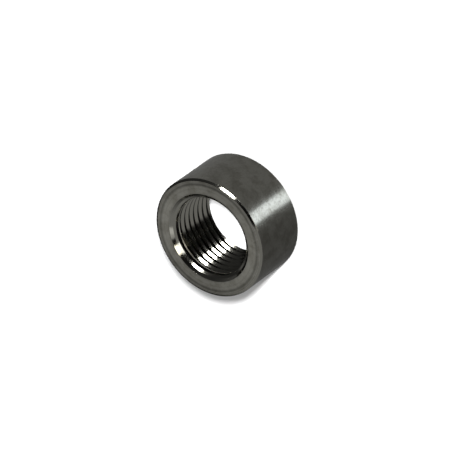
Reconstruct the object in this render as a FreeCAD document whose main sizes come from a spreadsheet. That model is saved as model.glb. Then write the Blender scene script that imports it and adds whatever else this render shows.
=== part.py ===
import FreeCAD, Part
import os
import Sketcher

# Weld-on bung: a short turned steel ring with a tapped bore. Its lower face is welded
# round a hole in a pipe, and a sensor or a plug screws in through the upper face.
# The origin is the middle of the lower face, and +Z points out of the upper one.

doc = FreeCAD.newDocument("WeldOnBung")

# Driving sizes, in millimetres and degrees
driving_sizes = (
    ("thread_diameter", 18.0, "nominal size of the thread, across its roots"),
    ("thread_pitch", 1.5, "rise of the thread in one turn"),
    ("wall", 3.7, "metal left outside the thread"),
    ("body_length", 12.7, "lower face to upper face"),
    ("mouth_clearance", 0.45, "how far the upper lead-in cone opens past the thread, all round"),
    ("cone_depth", 0.55, "upper face to the end of the upper lead-in cone"),
    ("lead_in_angle", 90.0, "angle between two opposite sides of either lead-in cone"),
    ("slope_angle", 120.0, "angle between two opposite sides of the slope below the upper cone"),
    ("pilot_clearance", 0.15, "how far the plain wall above the thread stands back from the bore"),
    ("pilot_depth", 1.7, "upper face to the end of that plain wall"),
    ("lower_cone_depth", 0.6, "lower face to the end of the lower lead-in cone"),
    ("edge_break", 0.5, "chamfer round both outer edges, measured across the face"),
    ("edge_angle", 30.0, "angle between that chamfer and the face"),
)
sizes = doc.addObject("Spreadsheet::Sheet", "Sizes")
for row, (alias, value, meaning) in enumerate(driving_sizes, start=1):
    sizes.set(f"A{row}", alias)
    sizes.set(f"B{row}", str(value))
    sizes.set(f"C{row}", meaning)
    sizes.setAlias(f"B{row}", alias)
doc.recompute()

# Sizes that follow from them. The tapping drill is one pitch smaller than the thread.
body_diameter = "Sizes.thread_diameter + 2 * Sizes.wall"
bore_radius = "(Sizes.thread_diameter - Sizes.thread_pitch) / 2"
pilot_radius = f"{bore_radius} + Sizes.pilot_clearance"
mouth_radius = "Sizes.thread_diameter / 2 + Sizes.mouth_clearance"
cone_end_radius = f"{mouth_radius} - Sizes.cone_depth * tan(Sizes.lead_in_angle * 1 deg / 2)"
slope_end = f"Sizes.cone_depth + ({cone_end_radius} - ({pilot_radius})) / tan(Sizes.slope_angle * 1 deg / 2)"
step_end = "Sizes.pilot_depth + Sizes.pilot_clearance"
lower_mouth_radius = f"{bore_radius} + Sizes.lower_cone_depth * tan(Sizes.lead_in_angle * 1 deg / 2)"
edge_drop = "Sizes.edge_break * tan(Sizes.edge_angle * 1 deg)"


def origin_part(body, role):
    """The plane or axis of a body's own origin that has this role."""
    return next(item for item in body.Origin.OriginFeatures if item.Role == role)


def new_sketch(body, name, plane):
    sketch = body.newObject("Sketcher::SketchObject", name)
    sketch.AttachmentSupport = [(origin_part(body, plane), "")]
    sketch.MapMode = "FlatFace"
    return sketch


def set_size(sketch, name, constraint, expression):
    """Add one named dimension and tie it to the sheet."""
    number = sketch.addConstraint(constraint)
    sketch.renameConstraint(number, name)
    sketch.setExpression(f"Constraints.{name}", expression)


def value_of(expression):
    return float(sizes.evalExpression(expression))


def bar_outline(body):
    """The round bar's outline, a circle on the lower face."""
    sketch = new_sketch(body, "BarOutline", "XY_Plane")
    diameter = value_of(body_diameter)
    centre = FreeCAD.Vector(0, 0, 0)
    up = FreeCAD.Vector(0, 0, 1)
    sketch.addGeometry(Part.Circle(centre, up, diameter / 2), False)
    sketch.addConstraint(Sketcher.Constraint("Coincident", 0, 3, -1, 1))
    set_size(sketch, "diameter", Sketcher.Constraint("Diameter", 0, diameter), body_diameter)
    return sketch


def bore_section(body):
    """Half of the bore's section, closed along the axis, with its corners from the lower face up."""
    sketch = new_sketch(body, "BoreSection", "XZ_Plane")
    length = value_of("Sizes.body_length")
    bore = value_of(bore_radius)
    pilot = value_of(pilot_radius)
    corners = [
        FreeCAD.Vector(0, 0, 0),
        FreeCAD.Vector(value_of(lower_mouth_radius), 0, 0),
        FreeCAD.Vector(bore, value_of("Sizes.lower_cone_depth"), 0),
        FreeCAD.Vector(bore, length - value_of(step_end), 0),
        FreeCAD.Vector(pilot, length - value_of("Sizes.pilot_depth"), 0),
        FreeCAD.Vector(pilot, length - value_of(slope_end), 0),
        FreeCAD.Vector(value_of(cone_end_radius), length - value_of("Sizes.cone_depth"), 0),
        FreeCAD.Vector(value_of(mouth_radius), length, 0),
        FreeCAD.Vector(0, length, 0),
    ]
    lower_face, lower_cone, wall, step, pilot_wall, slope, upper_cone, upper_face, axis = range(len(corners))
    for line in range(len(corners)):
        end = corners[(line + 1) % len(corners)]
        sketch.addGeometry(Part.LineSegment(corners[line], end), False)
    for line in range(len(corners)):
        sketch.addConstraint(Sketcher.Constraint("Coincident", line, 2, (line + 1) % len(corners), 1))

    sketch.addConstraint(Sketcher.Constraint("Coincident", lower_face, 1, -1, 1))
    sketch.addConstraint(Sketcher.Constraint("Horizontal", lower_face))
    sketch.addConstraint(Sketcher.Constraint("Vertical", wall))
    sketch.addConstraint(Sketcher.Constraint("Vertical", pilot_wall))
    sketch.addConstraint(Sketcher.Constraint("Horizontal", upper_face))
    sketch.addConstraint(Sketcher.Constraint("Vertical", axis))

    def radius_of(name, line, expression):
        """Distance from the axis to where a line of the section ends."""
        distance = Sketcher.Constraint("DistanceX", -1, 1, line, 2, value_of(expression))
        set_size(sketch, name, distance, expression)

    def depth_of(name, line, expression):
        """Distance from the upper face down to where a line of the section starts."""
        distance = Sketcher.Constraint("DistanceY", line, 1, upper_face, 1, value_of(expression))
        set_size(sketch, name, distance, expression)

    set_size(sketch, "length", Sketcher.Constraint("DistanceY", axis, 2, axis, 1, length), "Sizes.body_length")
    radius_of("lower_mouth", lower_face, lower_mouth_radius)
    radius_of("bore", wall, bore_radius)
    radius_of("pilot", step, pilot_radius)
    radius_of("cone_end", slope, cone_end_radius)
    radius_of("mouth", upper_cone, mouth_radius)
    lower_depth = Sketcher.Constraint("DistanceY", -1, 1, lower_cone, 2, value_of("Sizes.lower_cone_depth"))
    set_size(sketch, "lower_cone_depth", lower_depth, "Sizes.lower_cone_depth")
    depth_of("step_end", step, step_end)
    depth_of("pilot_depth", pilot_wall, "Sizes.pilot_depth")
    depth_of("slope_end", slope, slope_end)
    depth_of("cone_depth", upper_cone, "Sizes.cone_depth")
    return sketch


bung = doc.addObject("PartDesign::Body", "Bung")
bung.Label = "weld_bung"
bung.Placement = FreeCAD.Placement()

# The blank, sawn from round bar and faced to length
blank = bung.newObject("PartDesign::Pad", "Blank")
blank.Profile = bar_outline(bung)
blank.setExpression("Length", "Sizes.body_length")
doc.recompute()

# Both outer edges are broken with a shallow chamfer
rims = [f"Edge{number}" for number, edge in enumerate(blank.Shape.Edges, start=1)
        if isinstance(edge.Curve, Part.Circle)]
broken_edges = bung.newObject("PartDesign::Chamfer", "BrokenEdges")
broken_edges.Base = (blank, rims)
broken_edges.ChamferType = "Two distances"
broken_edges.setExpression("Size", edge_drop)
broken_edges.setExpression("Size2", "Sizes.edge_break")
doc.recompute()

# The bore runs right through, at tapping size, and opens out towards both faces
bore_cut = bung.newObject("PartDesign::Groove", "TappedBore")
bore_cut.Profile = bore_section(bung)
bore_cut.ReferenceAxis = (origin_part(bung, "Z_Axis"), [""])
bore_cut.Angle = 360
bung.Tip = bore_cut
doc.recompute()

# Nothing is written unless every step worked and each cut took something away
for item in doc.Objects:
    if "Invalid" in item.State or "Error" in item.State:
        raise RuntimeError(f"{item.Label} failed: {item.State}")
if not bore_cut.Shape.Volume < broken_edges.Shape.Volume < blank.Shape.Volume:
    raise RuntimeError("a cut took nothing away")
if bung.Shape.isNull() or not bung.Shape.isValid() or len(bung.Shape.Solids) != 1:
    raise RuntimeError("the ring isn't one valid solid")

os.makedirs("parts", exist_ok=True)
bung.Shape.exportStep(f"parts/{bung.Label}.step")
print(f"{bung.Label}: {bung.Shape.Volume:.1f} mm3, {len(bung.Shape.Faces)} faces")
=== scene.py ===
import math
import bpy
from mathutils import Matrix, Vector


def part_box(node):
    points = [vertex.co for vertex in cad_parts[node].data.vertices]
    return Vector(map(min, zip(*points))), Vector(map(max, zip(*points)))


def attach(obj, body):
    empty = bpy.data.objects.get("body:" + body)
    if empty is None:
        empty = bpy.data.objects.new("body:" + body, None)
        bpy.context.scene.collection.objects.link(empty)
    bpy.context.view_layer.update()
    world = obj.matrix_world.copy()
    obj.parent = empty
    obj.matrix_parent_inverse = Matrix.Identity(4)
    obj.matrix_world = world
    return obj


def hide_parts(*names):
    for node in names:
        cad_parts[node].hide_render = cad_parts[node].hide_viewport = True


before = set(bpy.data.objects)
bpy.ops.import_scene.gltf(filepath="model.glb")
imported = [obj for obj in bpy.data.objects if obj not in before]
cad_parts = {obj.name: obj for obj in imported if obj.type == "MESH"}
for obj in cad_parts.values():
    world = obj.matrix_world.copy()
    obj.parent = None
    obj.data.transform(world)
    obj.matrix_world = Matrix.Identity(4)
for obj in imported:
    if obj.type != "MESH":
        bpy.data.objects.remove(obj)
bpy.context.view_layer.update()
print("frame loaded: one steel ring, lower face on the floor")

mm = 0.001
degree = math.pi / 180


# Small helpers for node trees, used by the ring, its steel, the floor and the room

def addNode(tree, kind, label="", **settings):
    node = tree.nodes.new(kind)
    node.label = label
    for name, value in settings.items():
        setattr(node, name, value)
    return node


def feed(tree, socket, value):
    # a value is either another node's output or a plain number, colour or vector
    if isinstance(value, bpy.types.NodeSocket):
        tree.links.new(value, socket)
    elif value is not None:
        socket.default_value = value


def calc(tree, operation, first, second=None, third=None, label=""):
    node = addNode(tree, "ShaderNodeMath", label, operation=operation)
    for socket, value in zip(node.inputs, (first, second, third)):
        feed(tree, socket, value)
    return node.outputs[0]


def ramp(tree, value, low, high, toLow=0.0, toHigh=1.0, label="", kind="SMOOTHSTEP"):
    # carries the stretch from low to high over to the one from toLow to toHigh, level past both ends
    node = addNode(tree, "ShaderNodeMapRange", label, interpolation_type=kind)
    names = ("Value", "From Min", "From Max", "To Min", "To Max")
    for name, given in zip(names, (value, low, high, toLow, toHigh)):
        feed(tree, node.inputs[name], given)
    return node.outputs["Result"]


def noise(tree, place, size, detail, roughness=0.5, label=""):
    node = addNode(tree, "ShaderNodeTexNoise", label)
    feed(tree, node.inputs["Vector"], place)
    feed(tree, node.inputs["Scale"], 1 / size)
    feed(tree, node.inputs["Detail"], detail)
    feed(tree, node.inputs["Roughness"], roughness)
    return node.outputs["Fac"]


def pointAt(tree, across, up):
    # a sweep carries an outline's y downwards, so the height goes in with its sign turned
    node = addNode(tree, "ShaderNodeCombineXYZ")
    feed(tree, node.inputs["X"], across)
    feed(tree, node.inputs["Y"], calc(tree, "MULTIPLY", up, -1.0))
    return node.outputs[0]


# The ring

ringLook = {
    "threadDiameter": 18 * mm,      # across the thread's roots
    "threadPitch": 1.5 * mm,
    "mouthClearance": 0.45 * mm,    # the upper cone's mouth past the thread, all round
    "coneDepth": 0.55 * mm,         # of the upper lead-in cone
    "leadInAngle": 90 * degree,     # between two opposite sides of either cone
    "slopeAngle": 120 * degree,     # between two opposite sides of the slope below the upper cone
    "pilotClearance": 0.15 * mm,    # how far the plain wall above the thread stands back
    "pilotDepth": 1.7 * mm,         # from the upper face to that wall's end
    "lowerConeDepth": 0.6 * mm,
    "edgeBreak": 0.5 * mm,          # chamfer round both outer edges, across the face
    "edgeAngle": 30 * degree,       # between that chamfer and the face
    "cornerRadius": 0.05 * mm,      # every turned corner is a little soft
    "rootRadius": 0.11 * mm,        # the tap leaves a small radius in the thread's roots
    "flankAngle": 70 * degree,      # a little more open than the standard's 60, so the flanks catch the light
    "rootFlatShare": 1 / 8,         # of the pitch, left flat at the thread's roots
    "toolOverlap": 0.3 * mm,        # how far the thread cutter reaches into the open bore
    "spareTurns": 1.5,              # the cutter starts this many turns below the lower face
    "threadTurn": 0.0,              # where round the ring the thread starts
    "threadEnd": 1.72 * mm,         # from the upper face to where the thread's last turn ends
    "runOutTurns": 0.17,            # the cutter is drawn out of the wall along this part of a turn
    "facets": 240,
    "sharpAbove": 6 * degree,
}


def outlineCurve(tree, corners, cornerRadius, cornerSteps):
    # a closed curve through corners, each given as an output that holds its place
    points = addNode(tree, "GeometryNodePoints", "corners")
    feed(tree, points.inputs["Count"], len(corners))
    pick = addNode(tree, "GeometryNodeIndexSwitch", "which corner", data_type="VECTOR")
    while len(pick.index_switch_items) < len(corners):
        pick.index_switch_items.new()
    index = addNode(tree, "GeometryNodeInputIndex")
    feed(tree, pick.inputs["Index"], index.outputs[0])
    for number, corner in enumerate(corners):
        feed(tree, pick.inputs[number + 1], corner)
    feed(tree, points.inputs["Position"], pick.outputs[0])
    curve = addNode(tree, "GeometryNodePointsToCurves")
    feed(tree, curve.inputs["Points"], points.outputs[0])
    closed = addNode(tree, "GeometryNodeSetSplineCyclic")
    feed(tree, closed.inputs["Geometry"], curve.outputs[0])
    feed(tree, closed.inputs["Cyclic"], True)
    soft = addNode(tree, "GeometryNodeFilletCurve", "soft corners", mode="POLY")
    feed(tree, soft.inputs["Curve"], closed.outputs[0])
    feed(tree, soft.inputs["Count"], cornerSteps)
    feed(tree, soft.inputs["Radius"], cornerRadius)
    feed(tree, soft.inputs["Limit Radius"], True)
    return soft.outputs[0]


def sweptMesh(tree, path, outline, caps):
    # the path's own level direction keeps the outline upright all the way round
    level = addNode(tree, "GeometryNodeSetCurveNormal", mode="Z_UP")
    feed(tree, level.inputs["Curve"], path)
    sweep = addNode(tree, "GeometryNodeCurveToMesh")
    feed(tree, sweep.inputs["Curve"], level.outputs[0])
    feed(tree, sweep.inputs["Profile Curve"], outline)
    feed(tree, sweep.inputs["Fill Caps"], caps)
    return sweep.outputs[0]


ringInputs = (
    ("Body Radius", "NodeSocketFloat"),
    ("Body Length", "NodeSocketFloat"),
    ("Edge Break", "NodeSocketFloat"),
    ("Edge Drop", "NodeSocketFloat"),
    ("Thread Radius", "NodeSocketFloat"),
    ("Bore Radius", "NodeSocketFloat"),
    ("Pilot Radius", "NodeSocketFloat"),
    ("Pilot Depth", "NodeSocketFloat"),
    ("Slope Depth", "NodeSocketFloat"),
    ("Cone End Radius", "NodeSocketFloat"),
    ("Cone Depth", "NodeSocketFloat"),
    ("Mouth Radius", "NodeSocketFloat"),
    ("Lower Mouth Radius", "NodeSocketFloat"),
    ("Lower Cone Depth", "NodeSocketFloat"),
    ("Pitch", "NodeSocketFloat"),
    ("Half Flank Angle", "NodeSocketFloat"),
    ("Root Flat", "NodeSocketFloat"),
    ("Tool Overlap", "NodeSocketFloat"),
    ("Spare Turns", "NodeSocketFloat"),
    ("Thread Turn", "NodeSocketFloat"),
    ("Thread End", "NodeSocketFloat"),
    ("Run Out Turns", "NodeSocketFloat"),
    ("Corner Radius", "NodeSocketFloat"),
    ("Root Radius", "NodeSocketFloat"),
    ("Facets", "NodeSocketInt"),
    ("Sharp Above", "NodeSocketFloat"),
    ("Steel", "NodeSocketMaterial"),
)


def ringTree():
    tree = bpy.data.node_groups.new("Turned and tapped ring", "GeometryNodeTree")
    for label, kind in ringInputs:
        tree.interface.new_socket(label, in_out="INPUT", socket_type=kind)
    tree.interface.new_socket("Ring", in_out="OUTPUT", socket_type="NodeSocketGeometry")
    given = addNode(tree, "NodeGroupInput").outputs
    done = addNode(tree, "NodeGroupOutput")

    # the turned blank: its half section, corner by corner, carried round a circle.
    # Places across the section count from that circle, which has the thread's radius.
    radius = given["Thread Radius"]
    top = given["Body Length"]

    def across(name):
        return calc(tree, "SUBTRACT", given[name], radius, label=name)

    def below(name):
        return calc(tree, "SUBTRACT", top, given[name], label=name)

    outer = across("Body Radius")
    rim = calc(tree, "SUBTRACT", outer, given["Edge Break"], label="rim of the face")
    bore = across("Bore Radius")
    pilot = across("Pilot Radius")
    step = calc(tree, "SUBTRACT", pilot, bore, label="step at the thread's start")
    section = outlineCurve(tree, (
        pointAt(tree, across("Lower Mouth Radius"), 0.0),
        pointAt(tree, bore, given["Lower Cone Depth"]),
        pointAt(tree, bore, calc(tree, "SUBTRACT", below("Pilot Depth"), step)),
        pointAt(tree, pilot, below("Pilot Depth")),
        pointAt(tree, pilot, below("Slope Depth")),
        pointAt(tree, across("Cone End Radius"), below("Cone Depth")),
        pointAt(tree, across("Mouth Radius"), top),
        pointAt(tree, rim, top),
        pointAt(tree, outer, below("Edge Drop")),
        pointAt(tree, outer, given["Edge Drop"]),
        pointAt(tree, rim, 0.0),
    ), given["Corner Radius"], 3)
    circle = addNode(tree, "GeometryNodeCurvePrimitiveCircle", "round the bore", mode="RADIUS")
    feed(tree, circle.inputs["Resolution"], given["Facets"])
    feed(tree, circle.inputs["Radius"], radius)
    blank = sweptMesh(tree, circle.outputs["Curve"], section, False)

    # the thread cutter: one V outline that climbs a pitch in each turn
    slope = calc(tree, "TANGENT", given["Half Flank Angle"])
    rootHalf = calc(tree, "DIVIDE", given["Root Flat"], 2.0, label="half the root's flat")
    reach = calc(tree, "SUBTRACT", given["Tool Overlap"], bore, label="depth of the V")
    openHalf = calc(tree, "MULTIPLY_ADD", reach, slope, rootHalf, label="half the V's open side")
    inside = calc(tree, "MULTIPLY", reach, -1.0)
    vee = outlineCurve(tree, (
        pointAt(tree, inside, openHalf),
        pointAt(tree, 0.0, rootHalf),
        pointAt(tree, 0.0, calc(tree, "MULTIPLY", rootHalf, -1.0)),
        pointAt(tree, inside, calc(tree, "MULTIPLY", openHalf, -1.0)),
    ), given["Root Radius"], 3)
    bodyTurns = calc(tree, "DIVIDE", below("Thread End"), given["Pitch"])
    turns = calc(tree, "ADD", given["Spare Turns"], bodyTurns, label="turns in all")
    helix = addNode(tree, "GeometryNodeCurveSpiral", "the thread's path")
    feed(tree, helix.inputs["Resolution"], given["Facets"])
    feed(tree, helix.inputs["Rotations"], turns)
    feed(tree, helix.inputs["Start Radius"], radius)
    feed(tree, helix.inputs["End Radius"], radius)
    feed(tree, helix.inputs["Height"], calc(tree, "MULTIPLY", turns, given["Pitch"]))
    feed(tree, helix.inputs["Reverse"], True)
    along = addNode(tree, "GeometryNodeSplineParameter").outputs["Factor"]
    left = calc(tree, "MULTIPLY", calc(tree, "SUBTRACT", 1.0, along), turns, label="turns still to go")
    fullShare = calc(tree, "DIVIDE", reach, radius, label="drawn right out")
    drawn = ramp(tree, left, given["Run Out Turns"], 0.0, 0.0, fullShare, label="cutter drawn out")
    inward = addNode(tree, "ShaderNodeVectorMath", "towards the axis", operation="MULTIPLY")
    feed(tree, inward.inputs[0], addNode(tree, "GeometryNodeInputPosition").outputs[0])
    feed(tree, inward.inputs[1], (-1, -1, 0))
    shift = addNode(tree, "ShaderNodeVectorMath", operation="SCALE")
    feed(tree, shift.inputs[0], inward.outputs[0])
    feed(tree, shift.inputs["Scale"], drawn)
    runOut = addNode(tree, "GeometryNodeSetPosition", "thread run-out")
    feed(tree, runOut.inputs["Geometry"], helix.outputs[0])
    feed(tree, runOut.inputs["Offset"], shift.outputs[0])
    place = addNode(tree, "GeometryNodeTransform", "start below the lower face")
    feed(tree, place.inputs["Geometry"], runOut.outputs[0])
    drop = addNode(tree, "ShaderNodeCombineXYZ")
    spare = calc(tree, "MULTIPLY", given["Spare Turns"], given["Pitch"])
    feed(tree, drop.inputs["Z"], calc(tree, "MULTIPLY", spare, -1.0))
    feed(tree, place.inputs["Translation"], drop.outputs[0])
    turn = addNode(tree, "ShaderNodeCombineXYZ")
    feed(tree, turn.inputs["Z"], given["Thread Turn"])
    turned = addNode(tree, "FunctionNodeEulerToRotation")
    feed(tree, turned.inputs[0], turn.outputs[0])
    feed(tree, place.inputs["Rotation"], turned.outputs[0])
    cutter = sweptMesh(tree, place.outputs[0], vee, True)

    # the cutter leaves its thread in the blank's bore
    tap = addNode(tree, "GeometryNodeMeshBoolean", "tap the bore",
                  operation="DIFFERENCE", solver="EXACT")
    feed(tree, tap.inputs["Mesh 1"], blank)
    feed(tree, tap.inputs["Mesh 2"], cutter)

    # round faces shade smooth, and every corner stays crisp
    angle = addNode(tree, "GeometryNodeInputMeshEdgeAngle")
    sharp = addNode(tree, "FunctionNodeCompare", "sharp edges",
                    data_type="FLOAT", operation="GREATER_THAN")
    feed(tree, sharp.inputs["A"], angle.outputs["Unsigned Angle"])
    feed(tree, sharp.inputs["B"], given["Sharp Above"])
    smooth = addNode(tree, "GeometryNodeSetShadeSmooth", domain="FACE")
    feed(tree, smooth.inputs["Geometry"], tap.outputs["Mesh"])
    crisp = addNode(tree, "GeometryNodeSetShadeSmooth", domain="EDGE")
    feed(tree, crisp.inputs["Geometry"], smooth.outputs[0])
    feed(tree, crisp.inputs["Selection"], sharp.outputs[0])
    feed(tree, crisp.inputs["Shade Smooth"], False)
    real = addNode(tree, "GeometryNodeRealizeInstances")
    feed(tree, real.inputs[0], crisp.outputs[0])
    steel = addNode(tree, "GeometryNodeSetMaterial")
    feed(tree, steel.inputs["Geometry"], real.outputs[0])
    feed(tree, steel.inputs["Material"], given["Steel"])
    feed(tree, done.inputs[0], steel.outputs[0])
    return tree


def makeRing(look, low, high, steel):
    tree = ringTree()
    threadRadius = look["threadDiameter"] / 2
    boreRadius = threadRadius - look["threadPitch"] / 2
    pilotRadius = boreRadius + look["pilotClearance"]
    mouthRadius = threadRadius + look["mouthClearance"]
    coneSlope = math.tan(look["leadInAngle"] / 2)
    coneEndRadius = mouthRadius - look["coneDepth"] * coneSlope
    slopeDrop = (coneEndRadius - pilotRadius) / math.tan(look["slopeAngle"] / 2)
    values = {
        "Body Radius": (high.x - low.x) / 2,
        "Body Length": high.z - low.z,
        "Edge Break": look["edgeBreak"],
        "Edge Drop": look["edgeBreak"] * math.tan(look["edgeAngle"]),
        "Thread Radius": threadRadius,
        "Bore Radius": boreRadius,
        "Pilot Radius": pilotRadius,
        "Pilot Depth": look["pilotDepth"],
        "Slope Depth": look["coneDepth"] + slopeDrop,
        "Cone End Radius": coneEndRadius,
        "Cone Depth": look["coneDepth"],
        "Mouth Radius": mouthRadius,
        "Lower Mouth Radius": boreRadius + look["lowerConeDepth"] * coneSlope,
        "Lower Cone Depth": look["lowerConeDepth"],
        "Pitch": look["threadPitch"],
        "Half Flank Angle": look["flankAngle"] / 2,
        "Root Flat": look["threadPitch"] * look["rootFlatShare"],
        "Tool Overlap": look["toolOverlap"],
        "Spare Turns": look["spareTurns"],
        "Thread Turn": look["threadTurn"],
        "Thread End": look["threadEnd"],
        "Run Out Turns": look["runOutTurns"],
        "Corner Radius": look["cornerRadius"],
        "Root Radius": look["rootRadius"],
        "Facets": look["facets"],
        "Sharp Above": look["sharpAbove"],
        "Steel": steel,
    }
    holder = bpy.data.objects.new("ringHolder", bpy.data.meshes.new("ringHolder"))
    bpy.context.scene.collection.objects.link(holder)
    modifier = holder.modifiers.new("Ring", "NODES")
    modifier.node_group = tree
    for item in tree.interface.items_tree:
        if item.in_out == "INPUT":
            modifier[item.identifier] = values[item.name]
    bpy.context.view_layer.update()
    evaluated = holder.evaluated_get(bpy.context.evaluated_depsgraph_get())
    mesh = bpy.data.meshes.new_from_object(evaluated)
    holder.modifiers.remove(modifier)
    bpy.data.objects.remove(holder)
    ring = bpy.data.objects.new("tapped_ring", mesh)
    bpy.context.scene.collection.objects.link(ring)
    return ring


# Bare turned steel

steelLook = {
    "colour": (0.385, 0.378, 0.335, 1.0),
    "dullColour": (0.235, 0.226, 0.19, 1.0),    # where the skin is a little stained
    "dullShare": 0.66,              # how far the worst stain goes towards that colour
    "stainSize": 2.6 * mm,
    "stainRange": (0.38, 0.68),     # of the noise, from clean to fully stained
    "fleckSize": 0.5 * mm,          # small blotches, most seen where the side is brightest
    "fleckRange": (0.46, 0.66),
    "fleckShare": 0.5,              # what a fleck counts against a stain
    "cutRoughness": 0.11,           # thread and lead-in
    "faceRoughness": 0.3,
    "sideRoughness": 0.18,
    "chamferRoughness": 0.075,      # round the outer edges
    "burrRoughness": 0.32,          # the thin ring line where the plain wall ends above the thread
    "roughnessSpread": 0.12,        # how much the tool marks and flecks change the roughness
    "faceUpright": 0.96,            # a face is where the normal is at least this upright
    "sideSkin": 0.03 * mm,          # how near the outer radius the side begins
    "chamferWidth": 0.55 * mm,
    "burrDepth": 1.76 * mm,         # of the ring line, below the upper face
    "burrHalfWidth": 0.1 * mm,
    "burrRadius": 8.46 * mm,        # the ring line lies inside it
    "threadFrom": 0.6 * mm,         # height at which the thread starts, up to the ring line
    "threadWithin": 9.3 * mm,       # radius that holds all of the thread
    "rootFrom": 8.66 * mm,          # from this radius out to the next one the thread's roots are painted darker: painted shade
    "rootTo": 8.9 * mm,
    "paintedRootShade": 0.85,
    "toolMarkPitch": 0.16 * mm,     # of the turning tool, on the faces and round the side
    "toolMarkHeight": 0.0012 * mm,
    "grainSize": 0.12 * mm,
    "grainHeight": 0.0016 * mm,
    "fineGrain": 0.35,              # how much of the grain's relief the cut surfaces keep
    "paintedShadeSide": -50 * degree,       # where round the face the painted shade is darkest
    "paintedShadeAmount": 0.24,
    "faceRings": (                  # facing marks: where each lies, how wide it is and how much darker
        {"radius": 11.5 * mm, "width": 0.55 * mm, "shade": 0.42},
        {"radius": 12.02 * mm, "width": 0.16 * mm, "shade": 0.3},
        {"radius": 10.55 * mm, "width": 0.2 * mm, "shade": 0.1},
        {"radius": 9.6 * mm, "width": 0.16 * mm, "shade": 0.16},
    ),
}


def fromAxis(tree, place):
    # distance from the ring's axis
    flat = addNode(tree, "ShaderNodeVectorMath", "without its height", operation="MULTIPLY")
    feed(tree, flat.inputs[0], place)
    feed(tree, flat.inputs[1], (1, 1, 0))
    distance = addNode(tree, "ShaderNodeVectorMath", "distance from the axis", operation="LENGTH")
    feed(tree, distance.inputs[0], flat.outputs[0])
    return distance.outputs["Value"]


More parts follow.
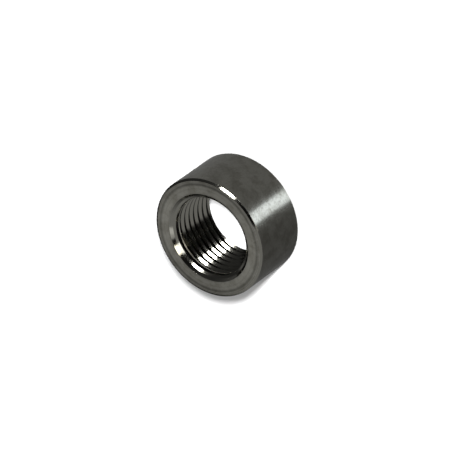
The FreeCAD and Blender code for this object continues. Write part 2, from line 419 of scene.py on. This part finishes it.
def turnedSteel(look, outerRadius, height):
    material = bpy.data.materials.new("turnedSteel")
    material.use_nodes = True
    tree = material.node_tree
    shader = tree.nodes["Principled BSDF"]
    place = addNode(tree, "ShaderNodeTexCoord").outputs["Object"]
    parts = addNode(tree, "ShaderNodeSeparateXYZ")
    feed(tree, parts.inputs[0], place)
    level = parts.outputs["Z"]
    radius = fromAxis(tree, place)
    normal = addNode(tree, "ShaderNodeSeparateXYZ")
    feed(tree, normal.inputs[0], addNode(tree, "ShaderNodeNewGeometry").outputs["True Normal"])
    upright = calc(tree, "ABSOLUTE", normal.outputs["Z"])

    # which surface a point lies on
    onFace = calc(tree, "GREATER_THAN", upright, look["faceUpright"], label="on a face")
    onSide = calc(tree, "GREATER_THAN", radius, outerRadius - look["sideSkin"], label="on the side")
    broad = calc(tree, "MAXIMUM", onFace, onSide, label="on a face or the side")
    cut = calc(tree, "SUBTRACT", 1.0, broad, label="on a cut surface")
    nearEdge = calc(tree, "GREATER_THAN", radius, outerRadius - look["chamferWidth"])
    onChamfer = calc(tree, "MULTIPLY", nearEdge, cut, label="on a chamfer")
    burrLevel = height - look["burrDepth"]
    burrAway = calc(tree, "ABSOLUTE", calc(tree, "SUBTRACT", level, burrLevel))
    atBurr = calc(tree, "LESS_THAN", burrAway, look["burrHalfWidth"])
    inWall = calc(tree, "LESS_THAN", radius, look["burrRadius"])
    onBurr = calc(tree, "MULTIPLY", atBurr, inWall, label="on the ring line")
    aboveCone = calc(tree, "GREATER_THAN", level, look["threadFrom"])
    belowBurr = calc(tree, "LESS_THAN", level, burrLevel)
    inBore = calc(tree, "LESS_THAN", radius, look["threadWithin"])
    threaded = calc(tree, "MULTIPLY", aboveCone, belowBurr, label="at the thread's height")
    atThread = calc(tree, "MULTIPLY", threaded, inBore, label="in the thread")

    # stains and flecks, in soft blotches, and a fine grain
    stain = ramp(tree, noise(tree, place, look["stainSize"], 5.0, 0.62, "stains"), *look["stainRange"])
    fleck = ramp(tree, noise(tree, place, look["fleckSize"], 4.0, 0.7, "flecks"), *look["fleckRange"])
    soiled = calc(tree, "MULTIPLY_ADD", fleck, look["fleckShare"], stain, label="stains and flecks")
    grain = noise(tree, place, look["grainSize"], 3.0, label="grain")

    # rings that the facing tool left on both faces
    ringShade = 0.0
    for ring in look["faceRings"]:
        away = calc(tree, "ABSOLUTE", calc(tree, "SUBTRACT", radius, ring["radius"]))
        mark = ramp(tree, away, ring["width"], 0.0, 0.0, ring["shade"], label="facing mark")
        ringShade = calc(tree, "ADD", mark, ringShade)
    # painted shade, standing in for how the lay of those marks reflects the light: two opposite sides of each
    # face darker
    azimuth = calc(tree, "ARCTAN2", parts.outputs["Y"], parts.outputs["X"])
    twice = calc(tree, "MULTIPLY_ADD", azimuth, 2.0, -2 * look["paintedShadeSide"])
    halfPaintedShade = look["paintedShadeAmount"] / 2
    paintedLayShade = calc(tree, "MULTIPLY_ADD", calc(tree, "COSINE", twice), halfPaintedShade, halfPaintedShade)
    # the facing marks together with that painted shade
    faceMarksAndShade = calc(tree, "MULTIPLY", calc(tree, "ADD", ringShade, paintedLayShade), onFace, label="facing marks")

    # the turning tool's own fine lines: round the faces, and round the side
    pick = addNode(tree, "ShaderNodeMix", "across the face or up the side", data_type="FLOAT")
    feed(tree, pick.inputs["Factor"], onSide)
    feed(tree, pick.inputs["A"], calc(tree, "DIVIDE", radius, look["toolMarkPitch"]))
    feed(tree, pick.inputs["B"], calc(tree, "DIVIDE", level, look["toolMarkPitch"]))
    toolMarks = addNode(tree, "ShaderNodeTexNoise", "tool marks", noise_dimensions="1D")
    feed(tree, toolMarks.inputs["W"], pick.outputs["Result"])
    feed(tree, toolMarks.inputs["Scale"], 1.0)
    feed(tree, toolMarks.inputs["Detail"], 2.0)
    lines = toolMarks.outputs["Fac"]

    # roughness: each surface has its own, and the marks and flecks change it a little
    roughness = look["cutRoughness"]
    surfaces = ((onFace, "faceRoughness"), (onSide, "sideRoughness"),
                (onChamfer, "chamferRoughness"), (onBurr, "burrRoughness"))
    for surface, name in surfaces:
        roughness = calc(tree, "MULTIPLY_ADD", surface, look[name] - look["cutRoughness"], roughness)
    uneven = calc(tree, "SUBTRACT", lines, 0.5)
    rougher = calc(tree, "MULTIPLY_ADD", fleck, look["fleckShare"], uneven)
    spread = calc(tree, "MULTIPLY", calc(tree, "MULTIPLY", rougher, broad), look["roughnessSpread"])
    feed(tree, shader.inputs["Roughness"], calc(tree, "ADD", roughness, spread, label="roughness"))

    # colour: bare steel, duller in the stains and the facing marks, with painted shade on two sides of each
    # face and in the thread's roots
    # painted shade in the thread's roots, darker towards the root radius
    paintedRootRamp = ramp(tree, radius, look["rootFrom"], look["rootTo"], 0.0, look["paintedRootShade"])
    paintedRootShade = calc(tree, "MULTIPLY", paintedRootRamp, atThread, label="painted shade in the roots")
    mixed = addNode(tree, "ShaderNodeMix", "stained steel", data_type="RGBA")
    dull = calc(tree, "MULTIPLY", calc(tree, "MULTIPLY", soiled, broad), look["dullShare"])
    feed(tree, mixed.inputs["Factor"], dull)
    feed(tree, mixed.inputs["A"], look["colour"])
    feed(tree, mixed.inputs["B"], look["dullColour"])
    shaded = addNode(tree, "ShaderNodeMix", "marks and roots", data_type="RGBA", blend_type="MULTIPLY")
    feed(tree, shaded.inputs["Factor"], calc(tree, "ADD", faceMarksAndShade, paintedRootShade))
    feed(tree, shaded.inputs["A"], mixed.outputs["Result"])
    feed(tree, shaded.inputs["B"], (0.0, 0.0, 0.0, 1.0))
    feed(tree, shader.inputs["Base Color"], shaded.outputs["Result"])

    # the same marks as relief
    markRelief = calc(tree, "MULTIPLY", calc(tree, "MULTIPLY", lines, look["toolMarkHeight"]), broad)
    kept = calc(tree, "MULTIPLY_ADD", broad, 1 - look["fineGrain"], look["fineGrain"])
    grainRelief = calc(tree, "MULTIPLY", calc(tree, "MULTIPLY", grain, look["grainHeight"]), kept)
    bump = addNode(tree, "ShaderNodeBump")
    feed(tree, bump.inputs["Strength"], 1.0)
    feed(tree, bump.inputs["Distance"], 1.0)
    feed(tree, bump.inputs["Height"], calc(tree, "ADD", grainRelief, markRelief))
    feed(tree, shader.inputs["Normal"], bump.outputs["Normal"])
    feed(tree, shader.inputs["Metallic"], 1.0)
    return material


ringLow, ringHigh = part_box("weld_bung")
ringRadius = (ringHigh.x - ringLow.x) / 2
steel = turnedSteel(steelLook, ringRadius, ringHigh.z - ringLow.z)
ring = makeRing(ringLook, ringLow, ringHigh, steel)
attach(ring, "root")
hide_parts("weld_bung")
print("ring made:", len(ring.data.polygons), "faces")


# Camera: a long lens, turned about its own axis so that the bore points down to the left

cameraLook = {
    "tilt": 44.7 * degree,          # between the ring's axis and the line of sight
    "roll": 215.45 * degree,        # where the ring's axis points in the picture, from its right
    "distance": 1.0,
    "pixelsPerMetre": 5090,         # at the ring, in a picture 450 pixels wide
    "centre": (227.0, 224.9),       # where the middle of the ring lies in that picture
    "pictureWidth": 450,
    "sensor": 36.0,
}


def makeCamera(look, low, high):
    lineOfSight = Vector((0, -math.sin(look["tilt"]), math.cos(look["tilt"])))
    right = Vector((1, 0, 0))
    upward = lineOfSight.cross(right)
    upright = Matrix((right, upward, lineOfSight)).transposed()
    turned = upright @ Matrix.Rotation(math.pi / 2 - look["roll"], 3, "Z")
    half = look["pictureWidth"] / 2
    offset = Vector((half - look["centre"][0], look["centre"][1] - half, 0)) / look["pixelsPerMetre"]
    middle = (low + high) / 2
    data = bpy.data.cameras.new("camera")
    data.sensor_width = look["sensor"]
    data.lens = look["sensor"] * look["pixelsPerMetre"] * look["distance"] / look["pictureWidth"]
    camera = bpy.data.objects.new("camera", data)
    bpy.context.scene.collection.objects.link(camera)
    place = middle + turned @ offset + lineOfSight * look["distance"]
    camera.matrix_world = Matrix.Translation(place) @ turned.to_4x4()
    bpy.context.scene.camera = camera
    return camera


makeCamera(cameraLook, ringLow, ringHigh)
print("camera placed")


# Floor and light

stageLook = {
    "floorSize": 6.0,
    "floorColour": (0.9, 0.9, 0.9, 1.0),
    "paintedFootShadow": 0.2,               # painted contact shadow: the floor's colour is a little darker in a thin ring just past the foot
    "paintedFootShadowWidth": 1.1 * mm,
    "boreFloorRadius": 9.7 * mm,    # inside it the floor keeps its full colour, free of the painted shadow
    "roomLight": 0.4,               # on the floor, from all round
    "backdrop": 1.0,                # what the camera sees past the floor
    "matMargin": 0.2 * mm,          # how far the dark sheet of painted shade stays inside the foot
    "matDepth": 0.1 * mm,           # how far it lies below the floor
    # colour of that painted shade
    "matColour": (0.02, 0.02, 0.02, 1.0),
    "roomShade": 0.006,             # what the steel mirrors where the room has no pale wall
}

# The pale walls of the dark room that the steel mirrors. A wall is a round patch: reach is half its
# width and fade its soft edge, and a foot above nought is the height below which it darkens.
paleWalls = (
    {"toward": (-0.62, 0.72, 0.3), "reach": 71.5 * degree, "fade": 3 * degree,
     "brightness": 0.3, "foot": 0.4},
    {"toward": (0.0, 0.705, 0.709), "reach": 25 * degree, "fade": 12 * degree,
     "brightness": 0.12, "foot": 0.0},
    {"toward": (0.85, 0.25, 0.5), "reach": 45 * degree, "fade": 15 * degree,
     "brightness": 0.03, "foot": 0.0},
    {"toward": (-0.725, -0.435, 0.532), "reach": 12 * degree, "fade": 2.5 * degree,
     "brightness": 0.6, "foot": 0.4},
    {"toward": (0.6, -0.1, -0.75), "reach": 64 * degree, "fade": 16 * degree,
     "brightness": 0.2, "foot": 0.0},
    {"toward": (-0.7, 0.1, -0.7), "reach": 50 * degree, "fade": 20 * degree,
     "brightness": 0.11, "foot": 0.0},
)

# azimuth and elevation say where a light stands, seen from the ring's foot
lightLook = (
    {"name": "keyLight", "lights": "steel", "azimuth": -26.8 * degree, "elevation": 62.9 * degree,
     "roll": -33 * degree, "distance": 1.2, "width": 0.3, "height": 0.3,
     "brightness": 30.0, "colour": (1.0, 1.0, 1.0)},
    {"name": "sideLight", "lights": "steel", "azimuth": -111.9 * degree, "elevation": 55.1 * degree,
     "roll": 0.0, "distance": 0.0785, "width": 0.02, "height": 0.012,
     "brightness": 4.5, "colour": (1.0, 0.95, 0.84)},
    {"name": "topLight", "lights": "steel", "azimuth": -138.7 * degree, "elevation": 80.1 * degree,
     "roll": 48 * degree, "distance": 0.085, "width": 0.016, "height": 0.011,
     "brightness": 3.0, "colour": (1.0, 1.0, 1.0)},
    {"name": "lowLight", "lights": "steel", "azimuth": -108 * degree, "elevation": -45 * degree,
     "roll": 0.0, "distance": 0.6, "width": 0.16, "height": 0.5,
     "brightness": 2.1, "colour": (0.85, 0.92, 1.0)},
    # nearly in line with the camera, so most of the shadow hides behind the ring
    {"name": "shadowLight", "lights": "floor", "azimuth": -84 * degree, "elevation": 44.4 * degree,
     "roll": 0.0, "distance": 0.6, "width": 0.06, "height": 0.06,
     "brightness": 560.0, "colour": (1.0, 1.0, 1.0)},
    # just over the floor inside the bore
    {"name": "boreLight", "lights": "floor", "azimuth": 0.0, "elevation": 89.9 * degree,
     "roll": 0.0, "distance": 0.0004, "width": 0.0172, "height": 0.0172,
     "brightness": 0.5, "colour": (1.0, 1.0, 1.0)},
)


def makeFloor(look, footRadius):
    material = bpy.data.materials.new("paleFloor")
    material.use_nodes = True
    tree = material.node_tree
    shader = tree.nodes["Principled BSDF"]
    radius = fromAxis(tree, addNode(tree, "ShaderNodeTexCoord").outputs["Object"])
    # painted contact shadow: the floor's colour darkens in a thin ring just past the ring's foot
    shadeEnd = footRadius + look["paintedFootShadowWidth"]
    paintedShadowScale = ramp(tree, radius, footRadius, shadeEnd, 1 - look["paintedFootShadow"], label="painted foot shadow")
    inBore = calc(tree, "LESS_THAN", radius, look["boreFloorRadius"])
    pale = addNode(tree, "ShaderNodeVectorMath", "floor colour", operation="SCALE")
    feed(tree, pale.inputs[0], look["floorColour"][:3])
    feed(tree, pale.inputs["Scale"], calc(tree, "MAXIMUM", paintedShadowScale, inBore))
    feed(tree, shader.inputs["Base Color"], pale.outputs[0])
    feed(tree, shader.inputs["Roughness"], 1.0)
    half = look["floorSize"] / 2
    corners = [(-half, -half, 0), (half, -half, 0), (half, half, 0), (-half, half, 0)]
    mesh = bpy.data.meshes.new("floor")
    mesh.from_pydata(corners, [], [(0, 1, 2, 3)])
    mesh.materials.append(material)
    floor = bpy.data.objects.new("floor", mesh)
    bpy.context.scene.collection.objects.link(floor)
    # the steel mirrors the room below it as well, as if it were held over a pale sheet
    floor.visible_glossy = False
    floor.visible_shadow = False
    return floor


def makeShadeSheet(look, footRadius):
    # under the floor, seen by the steel alone: a dark sheet of painted shade, standing in for the shaded
    # ground under the ring, which the bore mirrors in place of the low light
    material = bpy.data.materials.new("shadeSheetMaterial")
    material.use_nodes = True
    shader = material.node_tree.nodes["Principled BSDF"]
    shader.inputs["Base Color"].default_value = look["matColour"]
    shader.inputs["Specular IOR Level"].default_value = 0.0
    middle = (0, 0, -look["matDepth"])
    radius = footRadius - look["matMargin"]
    bpy.ops.mesh.primitive_circle_add(radius=radius, fill_type="NGON", location=middle)
    mat = bpy.context.object
    mat.name = "shade_sheet"
    mat.data.materials.append(material)
    mat.visible_diffuse = False
    return mat


def makeRoom(look, walls):
    world = bpy.data.worlds.new("room")
    bpy.context.scene.world = world
    world.use_nodes = True
    tree = world.node_tree
    way = addNode(tree, "ShaderNodeTexCoord").outputs["Generated"]
    parts = addNode(tree, "ShaderNodeSeparateXYZ")
    feed(tree, parts.inputs[0], way)
    mirrored = look["roomShade"]
    for wall in walls:
        near = addNode(tree, "ShaderNodeVectorMath", "how near the wall's middle", operation="DOT_PRODUCT")
        feed(tree, near.inputs[0], way)
        feed(tree, near.inputs[1], Vector(wall["toward"]).normalized())
        outerEdge = math.cos(wall["reach"] + wall["fade"])
        innerEdge = math.cos(wall["reach"] - wall["fade"])
        shine = ramp(tree, near.outputs["Value"], outerEdge, innerEdge, 0.0, wall["brightness"])
        if wall["foot"] > 0:
            rise = ramp(tree, parts.outputs["Z"], 0.0, wall["foot"], label="its foot", kind="LINEAR")
            shine = calc(tree, "MULTIPLY", shine, rise)
        mirrored = calc(tree, "ADD", shine, mirrored)
    # each kind of ray has its own room: the steel's mirror image, the light on the floor, the backdrop
    ray = addNode(tree, "ShaderNodeLightPath")
    shade = mirrored
    for kind, brightness in (("Is Diffuse Ray", look["roomLight"]), ("Is Camera Ray", look["backdrop"])):
        pick = addNode(tree, "ShaderNodeMix", kind, data_type="FLOAT")
        feed(tree, pick.inputs["Factor"], ray.outputs[kind])
        feed(tree, pick.inputs["A"], shade)
        feed(tree, pick.inputs["B"], brightness)
        shade = pick.outputs["Result"]
    background = tree.nodes["Background"]
    feed(tree, background.inputs["Strength"], shade)
    feed(tree, background.inputs["Color"], (1, 1, 1, 1))


def softLight(look):
    onFloor = look["lights"] == "floor"
    data = bpy.data.lights.new(look["name"], "AREA")
    data.shape = "ELLIPSE" if onFloor else "RECTANGLE"
    data.size = look["width"]
    data.size_y = look["height"]
    data.energy = look["brightness"] * math.pi * look["width"] * look["height"]
    data.color = look["colour"]
    light = bpy.data.objects.new(look["name"], data)
    bpy.context.scene.collection.objects.link(light)
    away = Vector((math.cos(look["azimuth"]), math.sin(look["azimuth"]), 0)) * math.cos(look["elevation"])
    away.z = math.sin(look["elevation"])
    sideways = Vector((0, 0, 1)).cross(away).normalized()
    facing = Matrix((sideways, away.cross(sideways), away)).transposed().to_4x4()
    rolled = facing @ Matrix.Rotation(look["roll"], 4, "Z")
    light.matrix_world = Matrix.Translation(away * look["distance"]) @ rolled
    light.visible_camera = False
    light.visible_diffuse = onFloor
    light.visible_glossy = not onFloor
    return light


makeFloor(stageLook, ringRadius)
makeShadeSheet(stageLook, ringRadius)
makeRoom(stageLook, paleWalls)
for look in lightLook:
    softLight(look)
bpy.context.scene.view_settings.view_transform = "Standard"
print("floor, room and lights set")
